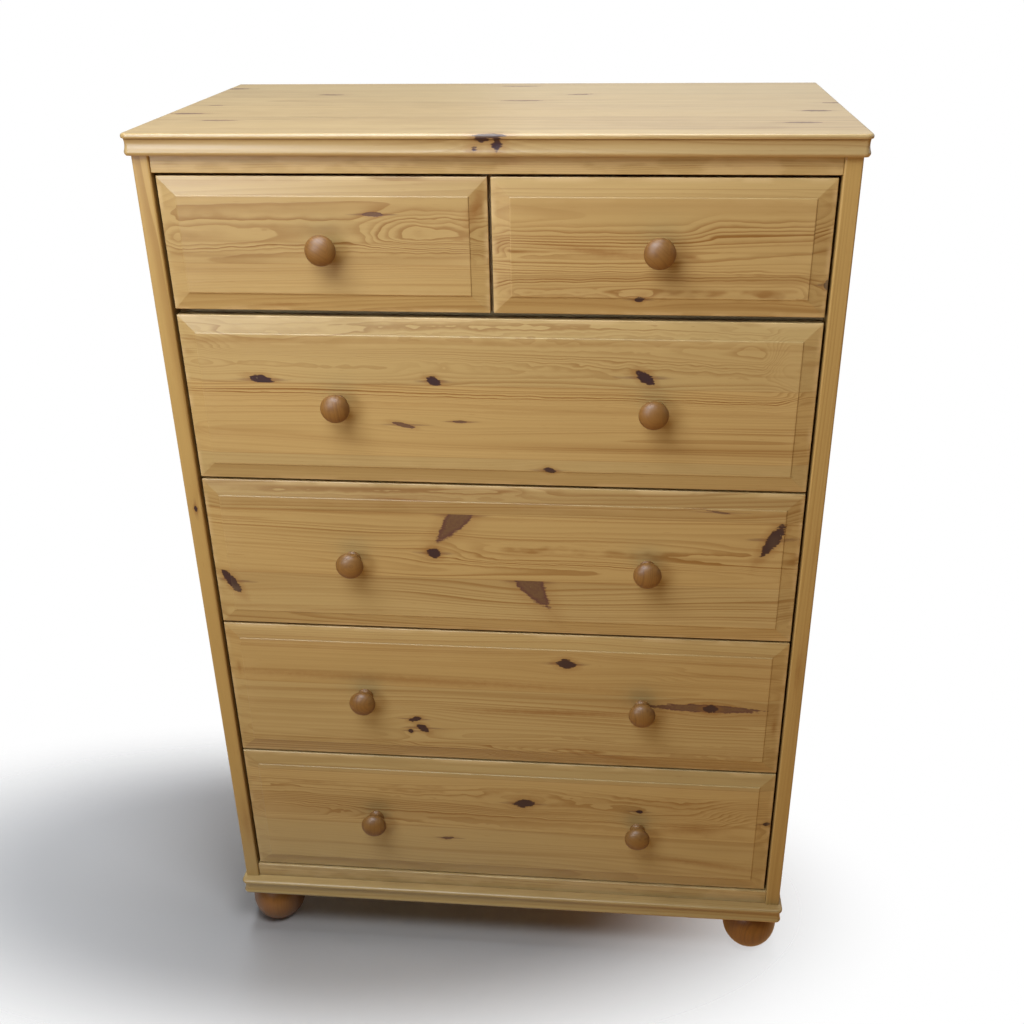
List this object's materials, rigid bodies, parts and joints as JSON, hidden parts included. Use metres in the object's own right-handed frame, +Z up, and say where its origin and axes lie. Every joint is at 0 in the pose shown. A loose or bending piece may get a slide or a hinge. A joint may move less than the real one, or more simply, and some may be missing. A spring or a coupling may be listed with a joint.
{
  "type": "tall chest of drawers",
  "caption": "Tall pine chest with short drawers above long ones, raised and fielded fronts, round wooden knobs, a moulded top and base, and bun feet.",
  "frame": {"origin": "on the floor, at the middle of the footprint of the whole piece, knobs included", "axes": "+Z up, -Y out of the drawer fronts, +X to the right of someone facing the front"},
  "size_m": [0.87, 0.482, 1.276],
  "materials": {
    "carcass_pine": "knotty pine boards under a warm satin wax lacquer",
    "front_pine": "edge-glued knotty pine under a warm satin wax lacquer",
    "box_pine": "planed pine, bare or thinly sealed, matt",
    "drawer_ply": "thin plywood, bare and matt",
    "knob_pine": "turned pine, stained darker, satin lacquer",
    "foot_pine": "turned pine, stained darker, satin lacquer",
    "back_hardboard": "brown pressed hardboard, matt",
    "bolt_steel": "zinc-plated steel fasteners"
  },
  "bodies": {
    "carcass": {"top_panel": "carcass_pine", "base_board": "carcass_pine", "left_side_panel": "carcass_pine", "right_side_panel": "carcass_pine", "frieze_rail": "carcass_pine", "bottom_rail": "carcass_pine", "centre_divider": "box_pine", "cross_rail_front": "box_pine", "cross_rail_rear": "box_pine", "rear_top_rail": "box_pine", "rear_bottom_rail": "box_pine", "back_panel": "back_hardboard", "foot_front_left": "foot_pine", "foot_bolt_front_left": "bolt_steel", "foot_front_right": "foot_pine", "foot_bolt_front_right": "bolt_steel", "foot_rear_left": "foot_pine", "foot_bolt_rear_left": "bolt_steel", "foot_rear_right": "foot_pine", "foot_bolt_rear_right": "bolt_steel"},
    "short_drawer_left": {"short_drawer_left_front": "front_pine", "short_drawer_left_left_side": "box_pine", "short_drawer_left_right_side": "box_pine", "short_drawer_left_back": "box_pine", "short_drawer_left_bottom": "drawer_ply", "short_drawer_left_knob": "knob_pine"},
    "short_drawer_right": {"short_drawer_right_front": "front_pine", "short_drawer_right_left_side": "box_pine", "short_drawer_right_right_side": "box_pine", "short_drawer_right_back": "box_pine", "short_drawer_right_bottom": "drawer_ply", "short_drawer_right_knob": "knob_pine"},
    "long_drawer_1": {"long_drawer_1_front": "front_pine", "long_drawer_1_left_side": "box_pine", "long_drawer_1_right_side": "box_pine", "long_drawer_1_back": "box_pine", "long_drawer_1_bottom": "drawer_ply", "long_drawer_1_left_knob": "knob_pine", "long_drawer_1_right_knob": "knob_pine"},
    "long_drawer_2": {"long_drawer_2_front": "front_pine", "long_drawer_2_left_side": "box_pine", "long_drawer_2_right_side": "box_pine", "long_drawer_2_back": "box_pine", "long_drawer_2_bottom": "drawer_ply", "long_drawer_2_left_knob": "knob_pine", "long_drawer_2_right_knob": "knob_pine"},
    "long_drawer_3": {"long_drawer_3_front": "front_pine", "long_drawer_3_left_side": "box_pine", "long_drawer_3_right_side": "box_pine", "long_drawer_3_back": "box_pine", "long_drawer_3_bottom": "drawer_ply", "long_drawer_3_left_knob": "knob_pine", "long_drawer_3_right_knob": "knob_pine"},
    "long_drawer_4": {"long_drawer_4_front": "front_pine", "long_drawer_4_left_side": "box_pine", "long_drawer_4_right_side": "box_pine", "long_drawer_4_back": "box_pine", "long_drawer_4_bottom": "drawer_ply", "long_drawer_4_left_knob": "knob_pine", "long_drawer_4_right_knob": "knob_pine"}
  },
  "joints": [
    {"name": "short_drawer_left_slide", "type": "slide", "parent": "carcass", "child": "short_drawer_left", "axis": [0, -1, 0], "range_m": [0, 0.3]},
    {"name": "short_drawer_right_slide", "type": "slide", "parent": "carcass", "child": "short_drawer_right", "axis": [0, -1, 0], "range_m": [0, 0.3]},
    {"name": "long_drawer_1_slide", "type": "slide", "parent": "carcass", "child": "long_drawer_1", "axis": [0, -1, 0], "range_m": [0, 0.3]},
    {"name": "long_drawer_2_slide", "type": "slide", "parent": "carcass", "child": "long_drawer_2", "axis": [0, -1, 0], "range_m": [0, 0.3]},
    {"name": "long_drawer_3_slide", "type": "slide", "parent": "carcass", "child": "long_drawer_3", "axis": [0, -1, 0], "range_m": [0, 0.3]},
    {"name": "long_drawer_4_slide", "type": "slide", "parent": "carcass", "child": "long_drawer_4", "axis": [0, -1, 0], "range_m": [0, 0.3]}
  ]
}
